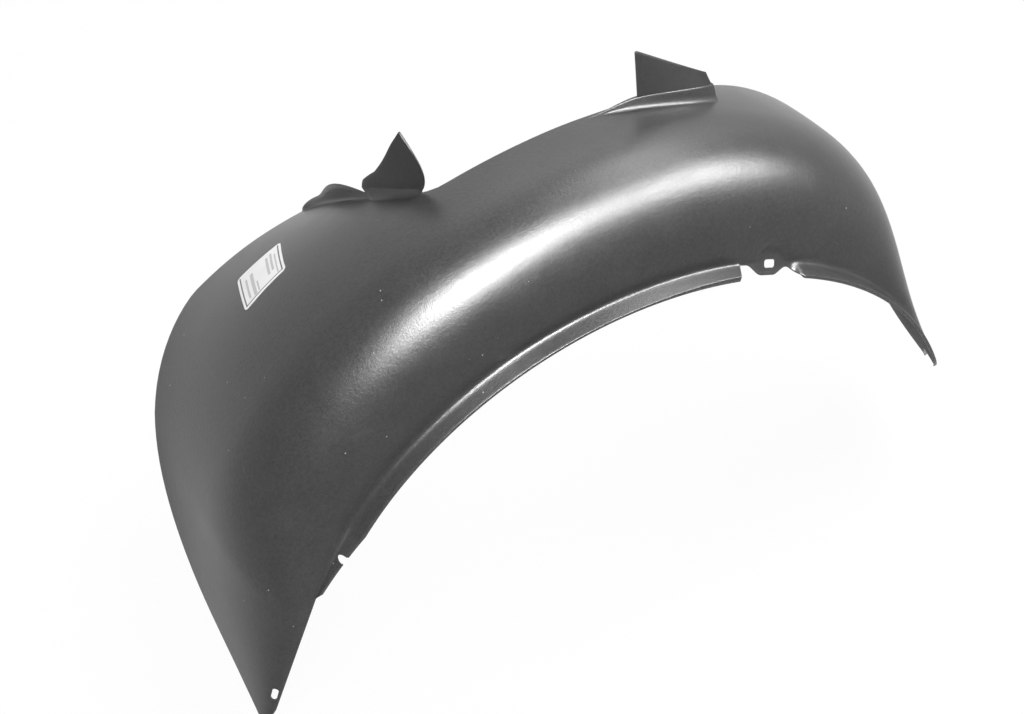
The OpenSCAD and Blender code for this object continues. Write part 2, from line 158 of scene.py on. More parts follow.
class Arch:
    """The shell as a surface of two numbers: t, the angle along the arch, and y, the distance inboard.

    All lengths are in millimetres here. The arch is a circle about the arch centre up to tail_from,
    and its tangent from there on. Places are turned into metres about the clip hole at the end.
    """

    # The wall and the crown, by stations along the arch, with the widths of the shell.
    station_from, station_step = -10.0, 30.0
    wall_end = np.array([267.0, 289, 140, 116, 101, 107, 137, 177])
    wall_rise = np.array([160.5, 1, 71.5, 96, 92, 85, 43.5, -17.5])
    crown_roll = np.array([63.5, 51.5, -14, -39, -43.5, -24, 8, 56])
    wall_power, roll_power, roll_from, roll_reach = 2.3, 2.5, 4.0, 200.0
    flange_span, foot_span, crown_span, rear_span = (28, 62), (28, 60), (28, 66), (95, 120)
    crown_lift, rear_lift = 14.0, 4.0
    nose_from, nose_cut, nose_power = 23.0, 58.0, 2.9
    nose_wide_at, nose_reach = 50.0, 39.5
    widen_from, widen_to, taper_from, taper_power = 108.0, 128.0, 146.5, 1.37
    tip_w, tail_round, tip_cut = 8.0, 184.0, 0.8
    # The outboard edge, the turned-up lobe on the inboard one and the fixing tab.
    flange_nose, foot_nose, foot_crown, foot_rear = 2.3, 3.0, 8.0, 9.5
    drop_h, drop_extra, drop_end = 3.0, 3.0, 93.0
    runout_from, runout_to, edge_rise = 147.5, 161.0, 18.0
    rim_w, lobe_from, lobe_to = 6.0, 112.0, 128.0
    lobe_at, lobe_reach, lobe_low_at, lobe_low_reach, lobe_fullness = 118.8, 3.7, 121.2, 5.7, 0.25
    lobe_turn = (0.6, 0.8)
    clip_at, clip_up, pad_lean, pad_r, pad_soft, pad_below = 69.9, 6.1, math.radians(32), 12.0, 8.0, 5.0
    clip_w, clip_h, clip_corner = 13.0, 7.5, 2.5
    nose_run, rear_run, end_gap, end_slant, end_turn = 25.0, 38.5, 0.7, 6.0, 1.5
    notch_rear_h, notch_rear_at, notch_nose_h, notch_nose_at, cut_below = 9.4, 26.0, 6.8, 19.5, 16.0
    tab_low, tab_slant, tab_fall, nose_end = 10.3, 0.44, 8.0, 44.0
    tab_flat = (4.0, 9.0)
    # Cuts: the rear notch, the slot in the tail and the V at the nose end.
    notch_at, notch_up, notch_r, notch_draft, notch_below = 152.3, 7.5, 4.5, 1.0, 20.0
    slot_at, slot_in, slot_w, slot_l = 180.4, 4.0, 6.0, 15.0
    vee_at, vee_in, vee_l = 22.1, 16.2, 60.0
    # Rounding of the sheet edges, and how the mesh is divided.
    round_off, rim_shares, slant_reach = 0.45, np.array([0.22, 0.78]), 3.0
    coarse, fine, lobe_step, least_gap = 1.25, 0.4, 0.5, 0.07
    before_step, at_step = 4.2, np.array([-0.3, -0.1, 0.0, 0.14, 0.45, 0.9])
    tip_shares = np.array([0.15, 0.35, 0.55, 0.7, 0.83, 0.93, 1.0])
    shelf_shares, rim_rows = np.array([0.12, 0.3, 0.5, 0.7, 0.88]), np.array([0.2, 0.4, 0.6, 0.8, 1.0])
    tab_reach, tab_grain, past_tab, far_below = -60.0, 0.5, np.array([2.0, 2.1]), -500.0
    wall_rows, wall_growth, samples, foot_passes = 40, 1.25, 600, 2

    def __init__(self, sizes):
        self.r = sizes.arch_radius / MM
        self.sheet = sizes.sheet / MM
        self.crown_w = sizes.crown_width / MM
        self.nose_extra = sizes.nose_extra / MM
        self.shoulder_w = sizes.shoulder_width / MM
        self.flange_crown = sizes.flange_width / MM
        self.lobe_h = sizes.lobe_height / MM
        self.tail_from, self.nose_to, self.tail_to = sizes.tail_from, sizes.nose_to, sizes.tail_to
        self.along = self.r * math.pi / 180
        self.step_nose = self.clip_at - self.nose_run / self.along
        self.step_rear = self.clip_at + (self.rear_run - self.end_slant + self.end_gap) / self.along
        a, lean = math.radians(self.clip_at), self.pad_lean
        r = self.r + self.clip_up
        out = self.flange_crown + (self.clip_up - self.foot_crown) * math.tan(lean)
        self.clip = np.array([r * math.cos(a), out, r * math.sin(a)])
        self.pad_u = np.array([math.sin(a), 0, -math.cos(a)])
        self.pad_out = np.array([math.sin(lean) * math.cos(a), -math.cos(lean), math.sin(lean) * math.sin(a)])
        self.pad_v = np.cross(self.pad_u, -self.pad_out)

    def through(self, values, t):
        """Catmull-Rom run through values that stand at even steps of t."""
        x = np.clip((t - self.station_from) / self.station_step, 0, len(values) - 1 - 1e-6)
        i = np.floor(x).astype(int)
        u = x - i
        ends = np.concatenate([[2 * values[0] - values[1]], values, [2 * values[-1] - values[-2]]])
        a, b, c, d = ends[i], ends[i + 1], ends[i + 2], ends[i + 3]
        square, cube = 2 * a - 5 * b + 4 * c - d, 3 * b - a - 3 * c + d
        return (2 * b + (c - a) * u + square * u ** 2 + cube * u ** 3) / 2

    def place(self, t, y, h):
        """Point at angle t, y inboard and h outward of the edge line: the arc, then its tangent."""
        b = np.clip(t, 0, self.tail_from)
        angle = np.radians(b)
        out = np.stack([np.cos(angle), 0 * angle, np.sin(angle)], -1)
        ahead = np.stack([-np.sin(angle), 0 * angle, np.cos(angle)], -1)
        rise = (self.r + h)[..., None] * out + (self.along * (t - b))[..., None] * ahead
        return rise + y[..., None] * np.array([0.0, 1.0, 0.0])

    def run_out(self, t):
        """0 over the arch and 1 along the tail, in proportion between runout_from and runout_to."""
        return np.clip((t - self.runout_from) / (self.runout_to - self.runout_from), 0, 1)

    def flange(self, t):
        """Width of the flange: narrow at the nose, full over the arch, narrow again along the tail."""
        over = mix(self.flange_nose, self.flange_crown, ramp(t, *self.flange_span))
        return mix(over, self.flange_nose, self.run_out(t))

    def foot(self, t):
        """Height of the foot of the wall above the arch radius."""
        over = mix(self.foot_nose, self.foot_crown, ramp(t, *self.foot_span))
        over = over + (self.foot_rear - self.foot_crown) * ramp(t, *self.rear_span)
        return mix(over, self.edge_rise + self.drop_h, self.run_out(t))

    def drop(self, t):
        """Height of the down-turned outboard edge, deeper where the rear flange ends square."""
        deeper = ramp(t, self.step_rear - 1, self.step_rear) * (1 - ramp(t, self.step_rear, self.drop_end))
        return self.drop_h + self.drop_extra * deeper

    def at_tab(self, t):
        """1 between the two flanges, where the sheet runs straight down the slope of the fixing tab."""
        return ramp(t, self.step_nose - self.end_turn, self.step_nose) * self.before_rear(t)

    def before_rear(self, t):
        """1 up to the square end of the rear flange and 0 from there on."""
        return 1 - ramp(t, self.step_rear - 0.1, self.step_rear)

    def full_w(self, t):
        """Width of the shell, wider at the nose and shoulder, tapering along the tail."""
        part = np.clip((t - self.taper_from) / (self.tail_to - self.taper_from), 0, 1)
        wide = (self.crown_w - self.tip_w + self.nose_extra * bell(t, self.nose_wide_at, self.nose_reach)
                + (self.shoulder_w - self.crown_w) * ramp(t, self.widen_from, self.widen_to))
        return self.tip_w + wide * (1 - part ** self.taper_power)

    def roundness(self, t):
        """1, falling as a circle does over the round end of the tail."""
        part = (t - self.tail_round) / (self.tail_to - self.tail_round)
        return np.sqrt(1 - np.clip(part, 0, self.tip_cut) ** 2)

    def end_y(self, t):
        """Inboard edge: at the full width, but round at the tip of the tail."""
        return self.full_w(t) * (1 + self.roundness(t)) / 2

    def start_y(self, t):
        """Outboard edge: at 0, but cut back in a curve at the nose and round at the tip of the tail."""
        back = np.clip((self.nose_from - t) / (self.nose_from - self.nose_to), 0, 1) ** self.nose_power
        return self.nose_cut * back + self.full_w(t) * (1 - self.roundness(t)) / 2

    def rim(self, t):
        """Width of the strip along the inboard edge that can turn up."""
        return np.minimum(self.rim_w, (self.end_y(t) - self.start_y(t)) / 4)

    def lobe(self, t):
        """How far the rim turns up: a peak beside the leaf tab and a lower, fuller part behind it."""
        low = bell(t, self.lobe_low_at, self.lobe_low_reach) ** self.lobe_fullness
        return self.lobe_h / 2 * (bell(t, self.lobe_at, self.lobe_reach) + low)

    def height(self, t, y):
        """Foot to crown along a full ellipse-like corner, plus a roll that grows with a power of y."""
        f = self.flange(t)
        x = np.clip((y - f) / (self.through(self.wall_end, t) - f), 0, 1)
        wall = (1 - (1 - x) ** self.wall_power) ** (1 / self.wall_power)
        top = (self.foot_nose + self.through(self.wall_rise, t) + self.crown_lift * ramp(t, *self.crown_span)
               + self.rear_lift * ramp(t, *self.rear_span))
        roll = np.maximum(0, (y - self.roll_from) / self.roll_reach) ** self.roll_power
        return mix(self.foot(t), top, wall) + self.through(self.crown_roll, t) * roll

    def surface(self, t, y, above=0.0):
        """The moulded surface at (t, y), or a point that far above it."""
        return self.place(t, y, self.height(t, y) + above)

    def rim_point(self, t):
        """Point on the inboard edge at angle t."""
        t = np.asarray(t, float)
        return self.surface(t, self.end_y(t))

    def flat(self, p):
        """Points near the clip hole are pressed onto the pad: the distance to its plane fades with radius."""
        d = p - self.clip
        away, u, v = d @ self.pad_out, d @ self.pad_u, d @ self.pad_v
        near = 1 - smooth((np.hypot(u, v) - self.pad_r) / self.pad_soft)
        return p - (near * away)[..., None] * self.pad_out

    def metres(self, p):
        """Millimetres about the arch centre to metres about the clip hole."""
        return (p - self.clip) * MM

    def tab_edge(self, u):
        """Lower outline of the fixing tab over its run u: a tongue, a notch on each side, then a fall."""
        rear = self.notch_rear_h * ramp(-u, self.tab_flat[0], self.notch_rear_at)
        nose = self.notch_nose_h * ramp(u, self.tab_flat[1], self.notch_nose_at)
        depth, fall_to = self.notch_nose_h + self.tab_fall, self.nose_end + self.tab_fall
        fall = depth * ramp(u, self.notch_nose_at, fall_to)
        return rear + nose - fall - self.tab_low

    def columns(self):
        """Angles of the mesh columns: even steps, with more at the nose, the tab, the lobe and the tip."""
        steps = [np.arange(self.nose_to, self.tail_round, self.coarse),
                 np.arange(self.nose_to, self.nose_from, self.fine),
                 np.arange(self.step_nose - self.before_step, self.step_rear + self.at_step[0], self.fine),
                 self.step_rear + self.at_step,
                 np.arange(self.lobe_from, self.lobe_to, self.lobe_step),
                 mix(self.tail_round, self.tail_to, self.tip_cut * self.tip_shares)]
        t = np.unique(np.concatenate(steps))
        return t[np.concatenate([[True], np.diff(t) > self.least_gap])]

    def edge_rows(self, t):
        """Rows from the outboard edge to the foot of the wall.

        Each column runs from the edge up its drop and along its flange or, at the fixing tab, straight
        up the slope of the pad. It starts where the outline of the tab crosses it: its share is 0 at the
        bottom, 1 at the corner and 2 at the foot of the wall.
        """
        tab, flange, foot = self.at_tab(t), self.flange(t), self.foot(t)
        low = self.edge_rise * self.run_out(t)
        slope = math.tan(self.pad_lean)
        pad_y = flange - (foot + self.pad_below) * slope
        bottom = np.stack([mix(0 * t, pad_y, tab), mix(low, -self.pad_below, tab)], -1)
        top = np.stack([flange, foot], -1)
        corner = np.stack([0 * t, low + self.drop(t)], -1)
        corner = mix(corner, (bottom + top) / 2, tab[:, None])

        def on_pad(p):
            """u and v of a point of each column in the plane of the pad."""
            d = self.place(t, p[:, 0], p[:, 1]) - self.clip
            return d @ self.pad_u, d @ self.pad_v

        u, at_corner = on_pad(corner)
        at_bottom, at_top = on_pad(bottom)[1], on_pad(top)[1]
        run = np.arange(self.tab_reach, self.nose_end + 0.1, self.tab_grain)
        line = self.tab_edge(run)
        run = np.append(run + self.tab_slant * line, self.nose_end + self.past_tab)
        line = np.interp(u, run, np.append(line, [-self.tab_low - self.cut_below, self.far_below]))
        line = np.where(self.before_rear(t) > 0.5, line, at_bottom - 1)
        start = np.where(line < at_corner, (line - at_bottom) / (at_corner - at_bottom),
                         1 + (line - at_corner) / (at_top - at_corner))
        start = np.clip(start, 0, 1.9)
        middle = mix(np.maximum(start + 0.05, 1), start + 0.25 * (2 - start), tab)
        q = np.concatenate([start[:, None], (start + middle)[:, None] / 2, middle[:, None],
                            middle[:, None] + (2 - middle)[:, None] * self.shelf_shares], 1)
        first, second = np.minimum(q, 1)[..., None], np.maximum(q - 1, 0)[..., None]
        return bottom[:, None] + (corner - bottom)[:, None] * first + (top - corner)[:, None] * second

    def sections(self, t):
        """The outer line of every section, (columns, rows, 2) of y and h, and the rows its inner line keeps.

        The wall and crown rows stand at growing lengths along the section: one interpolation serves all
        columns, each lifted to its own stretch of numbers. The rim turns up in the lobe by the square of
        its run. The foot is eased into a fillet by averaging neighbours.
        """
        edge = self.edge_rows(t)
        t = t[:, None]
        inner = self.start_y(t)
        start, end = inner + self.flange(t), self.end_y(t) - self.rim(t)
        edge[..., 0] += inner
        edge[..., 1] += self.height(t, start) - self.foot(t)

        fine = start + (end - start) * np.linspace(0, 1, self.samples) ** 3
        tall = self.height(t, fine)
        aside, up = np.diff(fine, axis=1, prepend=fine[:, :1]), np.diff(tall, axis=1, prepend=tall[:, :1])
        run = np.cumsum(np.hypot(aside, up), axis=1)
        whole = run[:, -1:]
        wanted = whole * np.linspace(0, 1, self.wall_rows) ** self.wall_growth
        lift = 2.0 * np.arange(len(t))[:, None]
        main_y = np.interp((wanted / whole + lift).ravel(), (run / whole + lift).ravel(), fine.ravel())
        main_y = main_y.reshape(wanted.shape)
        main_y[:, -1:] = end
        main = np.stack([main_y, self.height(t, main_y)], -1)

        rim_y = end + self.rim(t) * self.rim_rows
        turn = self.lobe(t) * self.rim_rows ** 2
        turn_y, turn_h = turn * self.lobe_turn[0], turn * self.lobe_turn[1]
        rim = np.stack([rim_y + turn_y, self.height(t, rim_y) + turn_h], -1)
        line = np.concatenate([edge, main, rim], 1)
        foot_row = edge.shape[1]
        for _ in range(self.foot_passes):
            before, here, after = [line[:, foot_row + k - 2:foot_row + k + 3] for k in (-1, 0, 1)]
            line[:, foot_row - 2:foot_row + 3] = (before + 2 * here + after) / 4
        kept = np.concatenate([[0, 2], np.arange(foot_row, line.shape[1])])
        return line, kept

    def loops(self):
        """Closed sections of the shell: outer line, rounded rim, inner line one sheet below, rounded edge."""
        t = self.columns()
        line, kept = self.sections(t)
        core = line[:, kept]
        run = unit(np.diff(core, axis=1))
        side = np.stack([run[..., 1], -run[..., 0]], -1)
        before = np.concatenate([side[:, :1], side], 1)
        after = np.concatenate([side, side[:, -1:]], 1)
        turn = 1 + (before * after).sum(-1, keepdims=True)
        under = core + self.sheet * (before + after) / np.maximum(turn, 0.4)

        def toward(i, j, most):
            """Point of each section most millimetres from row i towards row j, or nearly half way."""
            gap = line[:, j] - line[:, i]
            size = np.linalg.norm(gap, axis=-1, keepdims=True)
            return line[:, i] + gap / np.maximum(size, 1e-6) * np.minimum(most, 0.45 * size)

        low, high = toward(2, 1, self.round_off), toward(2, 3, self.round_off)
        bend = [low, (low + high + 2 * line[:, 2]) / 4, high]
        first, last = toward(0, 1, self.round_off), toward(-1, -2, self.round_off)
        upper = [first, line[:, 1], *bend, *np.moveaxis(line[:, 3:-1], 1, 0), last]
        rim = [mix(line[:, -1], under[:, -1], x) for x in self.rim_shares]
        edge = [mix(line[:, 0], under[:, 0], x) for x in self.rim_shares[::-1]]
        pull_end = under[:, -1] + unit(under[:, -2] - under[:, -1]) * self.round_off
        pull_start = under[:, 0] + unit(under[:, 1] - under[:, 0]) * self.round_off
        lower = [pull_end, *np.moveaxis(under[:, -2:0:-1], 1, 0), pull_start]
        rows = np.stack([*upper, *rim, *lower, *edge], 1)
        none, whole = np.zeros(len(upper)), np.full(len(lower), self.sheet)
        sides = self.sheet * self.rim_shares
        over = np.concatenate([none, sides, whole, sides[::-1]])
        slant = self.end_slant / self.along * bell(t, self.step_rear, self.slant_reach)[:, None]
        shelf = np.clip(1 - (rows[..., 0] - self.start_y(t)[:, None]) / self.flange_crown, 0, 1)
        shear = np.where(t[:, None] < self.runout_from, slant * shelf, 0)
        angle = t[:, None] + shear
        raised = over[:, None] * self.pad_out
        points = self.flat(self.place(angle, rows[..., 0], rows[..., 1]) + raised) - raised
        worn, last = np.zeros(rows.shape[1]), len(upper) - 1
        worn[[0, 1, 2, 3, 4, last, last + 1, last + 2, -1, -2]] = 1
        # Painted shade: the rows of the inner line are marked fully, and the rounded edges in part, to be
        # darkened to near black.
        painted_shade = np.concatenate([none, [0.2, 0.8], np.ones(len(lower)), [0.8, 0.2]])
        return points, worn, painted_shade

    def axes_at(self, t, y, step):
        """The point of the surface at (t, y), with unit axes along the arch, across it and square to both.

        The first axis points the way that step does.
        """
        t, y = np.array([float(t)]), np.array([float(y)])
        here = self.surface(t, y)[0]
        along = unit(self.surface(t + step, y)[0] - here)
        across = unit(self.surface(t, y + abs(step))[0] - here)
        out = unit(np.cross(across, along))
        return here, along, np.cross(out, along), out


CRISP = math.radians(50)
CORNER_POINTS = 10


def ring_mesh(name, loops):
    """A closed mesh from loops of points (count, size, 3): each joins the next, and both ends are capped."""
    m, n = loops.shape[:2]
    here = np.arange(m * n).reshape(m, n)
    ahead = np.roll(here, -1, axis=1)
    quads = np.stack([here[:-1], ahead[:-1], ahead[1:], here[1:]], -1).reshape(-1, 4)
    corners = np.concatenate([quads.reshape(-1), here[0, ::-1], here[-1]])
    sizes = np.concatenate([np.full(len(quads), 4), [n, n]])
    return raw_mesh(name, loops.reshape(-1, 3), corners, sizes)


def raw_mesh(name, points, corners, sizes):
    """A mesh from its points, the point of every face corner and the number of corners of every face."""
    mesh = bpy.data.meshes.new(name)
    mesh.vertices.add(len(points))
    mesh.vertices.foreach_set("co", np.ascontiguousarray(points, dtype=np.float32).reshape(-1))
    mesh.loops.add(len(corners))
    mesh.loops.foreach_set("vertex_index", np.ascontiguousarray(corners, dtype=np.int32))
    mesh.polygons.add(len(sizes))
    starts = np.concatenate([[0], np.cumsum(sizes)[:-1]]).astype(np.int32)
    mesh.polygons.foreach_set("loop_start", starts)
    mesh.update(calc_edges=True)
    mesh.validate()
    outwards(mesh)
    return mesh


def outwards(mesh):
    """Turns all faces of a closed mesh over where its signed volume comes out negative."""
    work = bmesh.new()
    work.from_mesh(mesh)
    if work.calc_volume(signed=True) < 0:
        bmesh.ops.reverse_faces(work, faces=work.faces)
        work.to_mesh(mesh)
    work.free()


def shade(mesh):
    """Smooth faces, with the edges that turn more than CRISP kept sharp."""
    mesh.polygons.foreach_set("use_smooth", np.ones(len(mesh.polygons), bool))
    mesh.set_sharp_from_angle(angle=CRISP)


def new_piece(name, mesh):
    """A new object for the mesh, shaded and in the scene."""
    shade(mesh)
    piece = bpy.data.objects.new(name, mesh)
    bpy.context.scene.collection.objects.link(piece)
    return piece


def prism(outline, origin, axes, low, high):
    """A closed outline in the plane of the first two axes, drawn out along the third from low to high."""
    u, v, w = axes
    ring = origin + outline[:, :1] * u + outline[:, 1:] * v
    return ring_mesh("cutter", np.stack([ring + low * w, ring + high * w]))


def rounded_outline(width, depth, radius):
    """A rectangle of width by depth with its corners turned by quarter circles of the radius."""
    turn = np.radians(np.linspace(0, 90, CORNER_POINTS))
    quarter = np.stack([np.cos(turn), np.sin(turn)], -1) * radius
    rest = np.array([width / 2 - radius, depth / 2 - radius])
    flips = [(quarter, (1, 1)), (quarter[::-1] * (-1, 1), (-1, 1)),
             (quarter * (-1, -1), (-1, -1)), (quarter[::-1] * (1, -1), (1, -1))]
    return np.concatenate([q + rest * s for q, s in flips])


def cut(piece, meshes):
    """Takes the cutters' space out of the piece, one after another, and applies each cut."""
    for mesh in meshes:
        tool = bpy.data.objects.new("cutter", mesh)
        bpy.context.scene.collection.objects.link(tool)
        step = piece.modifiers.new("Cut", "BOOLEAN")
        step.object, step.operation, step.solver = tool, "DIFFERENCE", "MANIFOLD"
        graph = bpy.context.evaluated_depsgraph_get()
        done = bpy.data.meshes.new_from_object(piece.evaluated_get(graph))
        piece.modifiers.clear()
        old, piece.data = piece.data, done
        bpy.data.meshes.remove(old)
        bpy.data.objects.remove(tool)
        bpy.data.meshes.remove(mesh)
    shade(piece.data)


def mark(mesh, name, values):
    """Keeps a number on every point of the mesh for the material to read."""
    layer = mesh.attributes.new(name, "FLOAT", "POINT")
    layer.data.foreach_set("value", values.astype(np.float32))


def finish_piece(piece, node, material):
    """Gives a piece its material and its body, and hides the imported part of the node it stands for."""
    piece.data.materials.clear()
    piece.data.materials.append(material)
    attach(piece, "root")
    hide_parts(node)


def sheet_loops(front, out, pull, thick):
    """Closed loops of a sheet: its front rows, then its back rows in reverse, both drawn in by pull."""
    return np.concatenate([front + out * pull, (front + out * (thick - pull))[:, ::-1]], 1)


class Riser:
    """The step along the inboard edge of the crown, and the upright tab on it, in millimetres."""

    start, end, tab_end, back, inward, lean, loss, skew = 72.4, 92.0, 83.3, 36.0, 4.0, 5.0, 0.25, 0.8
    fade_from, fade_to, slope, tab_lean, thick = 82.3, 90.5, 10.0, 5.0, 2.0
    fillet = ((-3.8, -0.5), (-2.8, -0.06), (-1.9, 0.15), (-1.1, 0.55), (-0.45, 1.25))
    face = (0.3, 0.45, 0.6, 0.75, 0.88)
    ledge = ((0.96, 0.15, -0.05), (1.0, 0.7, -0.1), (1.0, 1.5, 0.0), (1.0, 3.2, -0.1))
    rear = ((0.9, 3.9), (0.6, 4.2), (0.3, 4.4))
    under = ((4.6, 0.2, 1.2), (-4.0, -0.5, 1.4))
    columns, past_fade, seat, rise_rate, widest = 60, 0.6, 0.5, 1.6, 0.35
    tab_columns, tab_rows, tab_root, corner_run, corner_drop = 41, 14, 2.5, 0.03, 1.6

    def __init__(self, arch, sizes):
        self.arch, self.tall = arch, sizes.riser_height / MM
        self.high, self.low = sizes.tab_high / MM, sizes.tab_low / MM
        self.run = self.tab_end - self.start

    def part(self, t):
        """Height of the step over its full height: falls slowly below the tab, then out behind it."""
        return (1 - self.loss * (t - self.start) / self.run) * (1 - ramp(t, self.fade_from, self.fade_to))

    def foot_y(self, t):
        """Distance inboard of the foot of the step, which nears the inboard edge towards the tail."""
        return self.arch.end_y(t) - self.inward - self.back * (1 - ramp(t, self.start, self.end))

    def skewed(self, t, f):
        """Angle of a row at share f of the height, so that the nose end leans with the panel."""
        return t + self.skew * np.maximum(0, f) * np.maximum(0, self.tab_end - t) / self.run

    def point(self, t, f, dy=0.0, dh=0.0):
        """Point of the leaning face at share f of its height, moved by dy inboard and dh outward."""
        y, part = self.foot_y(t), self.part(t)
        rise = self.arch.height(t, y) + f * part * self.tall
        return self.arch.place(self.skewed(t, f), y + self.lean * part * f + dy, rise + dh)

    def loops(self):
        """Closed sections: a fillet up from the crown, the face, a rounded ledge and the back."""
        arch = self.arch
        t = mix(self.start, self.fade_to + self.past_fade, np.linspace(0, 1, self.columns))
        part, y = self.part(t), self.foot_y(t)
        risen = np.minimum(1, part * self.rise_rate)
        rows = []
        for dy, dh in self.fillet:
            side = y + mix(-1.0, dy, np.minimum(1, part + self.widest))
            rows.append(arch.place(t, side, arch.height(t, side) + mix(-self.seat, dh, risen)))
        fade = -self.seat * (1 - risen)
        for f in self.face:
            rows.append(self.point(t, f, 0, fade))
        for f, dy, dh in self.ledge:
            rows.append(self.point(t, f, dy * part, dh * part + fade))
        for f, dy in self.rear:
            rows.append(self.point(t, f, dy * part, fade))
        for wide, gap, sunk in self.under:
            side = y + wide * part + gap
            rows.append(arch.place(t, side, arch.height(t, side) - sunk))
        return np.stack(rows, 1)

    def tab_loops(self):
        """Closed sections of the upright tab: straight top line, sides from the ledge up, thin sheet."""
        s = np.linspace(0, 1, self.tab_columns)
        t = mix(self.start, self.tab_end, s)
        ends = self.point(np.array([self.start, self.tab_end]), 1.0)
        first = ends[0] + np.array([-self.slope, 0, self.low])
        last = ends[1] + np.array([-self.tab_lean, 0, self.high])
        top = mix(first, last, s[:, None])
        root = self.point(t, 1.0, 0.0, -self.tab_root)
        ease = np.concatenate([np.linspace(0, 0.94, self.tab_rows), [0.985, 1.0]])
        front = mix(root[:, None], top[:, None], ease[:, None])
        end = np.minimum(1, np.minimum(s, 1 - s) / self.corner_run)
        edge = np.sqrt(np.clip(1 - (1 - end) ** 2, 0, 1))
        drop = (1 - edge)[:, None, None] * (self.corner_drop * ease ** 4)[:, None]
        front = front - drop * np.array([0, 0, 1.0])
        along, up = np.gradient(front, axis=0), np.gradient(front, axis=1)
        out = unit(np.cross(up, along))
        out = out * np.where(out[..., 1:2] > 0, 1, -1)
        pull = np.concatenate([np.zeros(self.tab_rows), [0.1, 0.55]])[:, None]
        return sheet_loops(front, out, pull, self.thick)


class Leaf:
    """The leaf tab that stands upright on the inboard edge, in millimetres."""

    start, end, flare = 116.1, 110.9, (-3, 4)
    lowest, swell, swell_at, top_at, turn, low = 0.18, 2.0, 0.4, 0.96, 145, 0.3
    thick, web, blend = 2.0, 16.0, 7.0
    spread, spread_to, spread_run, spread_power = 5.0, 33.0, 20.0, 0.75
    columns, web_rows, tall_rows, flank_points = 25, 11, 41, 60
    seat, tip_gap, growth, web_thick, thicken_rows, side_round = 0.35, 0.6, 1.1, 1.2, 6, 0.5

    def __init__(self, arch, sizes):
        self.arch, self.h, self.w = arch, sizes.leaf_height / MM, sizes.leaf_width / MM
        self.bulge = sizes.leaf_bulge / MM

    def flanks(self, z, run, step):
        """Both flanks at height z, read off the two flank curves."""
        f = np.linspace(0, 1, self.flank_points)
        rear_x = self.w * (f - 1 + self.top_at) + self.swell * bell(f, self.swell_at, self.swell_at)
        rear_z = self.h * mix(self.lowest, 1, f)
        nose_x = self.w * self.top_at + self.bulge * np.sin(np.radians(self.turn * f))
        nose_z = self.h * mix(1, self.low, f)
        left = np.interp(z, [0, self.flare[1], *rear_z], [0, self.flare[0], *rear_x])
        lower = np.clip((self.spread_to - z) / self.spread_run, 0, 1)
        left = left - self.spread * lower ** self.spread_power
        right = np.interp(z, [step, *nose_z[::-1]], [run, *nose_x[::-1]])
        return left, right

    def loops(self):
        """Closed sections from the crown up to the tip: front from side to side, then back.

        The lowest rows run from the crown through the rim into the plane of the tab along quadratic
        Bezier curves, and the others stand between the two flanks.
        """
        arch = self.arch
        a, b = arch.rim_point(np.array([self.start, self.end]))
        ahead = (b - a) * np.array([1, 1, 0])
        run, step = np.linalg.norm(ahead), b[2] - a[2]
        x_axis, z_axis = ahead / run, np.array([0, 0, 1.0])
        c = np.linspace(0, 1, self.columns)
        t = mix(self.start, self.end, c)
        rim = arch.rim_point(t)
        from_y = arch.end_y(t) - self.web
        low = arch.surface(t, from_y, -self.seat)
        level = self.blend + step * c
        bend = a + mix(*self.flanks(level, run, step), c)[:, None] * x_axis + level[:, None] * z_axis
        q = np.linspace(0, 1, self.web_rows)[:, None, None]
        web = (1 - q) ** 2 * low + 2 * q * (1 - q) * rim + q ** 2 * bend
        tall = mix(level, self.h - self.tip_gap, np.linspace(0, 1, self.tall_rows)[1:, None] ** self.growth)
        x = mix(*self.flanks(tall, run, step), c)
        above = a + x[..., None] * x_axis + tall[..., None] * z_axis
        front = np.concatenate([web, above])
        rows, side = np.gradient(front, axis=0), np.gradient(front, axis=1)
        out = unit(np.cross(rows, side))
        out = out * np.sign(out[len(web):, :, 1].mean())
        flat = unit(np.cross(x_axis, z_axis))
        out[len(web):] = flat * np.sign(flat[1])
        grown = np.minimum(1, np.arange(len(front)) / self.thicken_rows)
        thick = mix(self.web_thick, self.thick, grown)[:, None, None]
        outermost = np.zeros(self.columns)
        outermost[[0, -1]] = 1
        pull = self.side_round * outermost[:, None] * np.ones_like(thick)
        return sheet_loops(front, out, pull, thick)


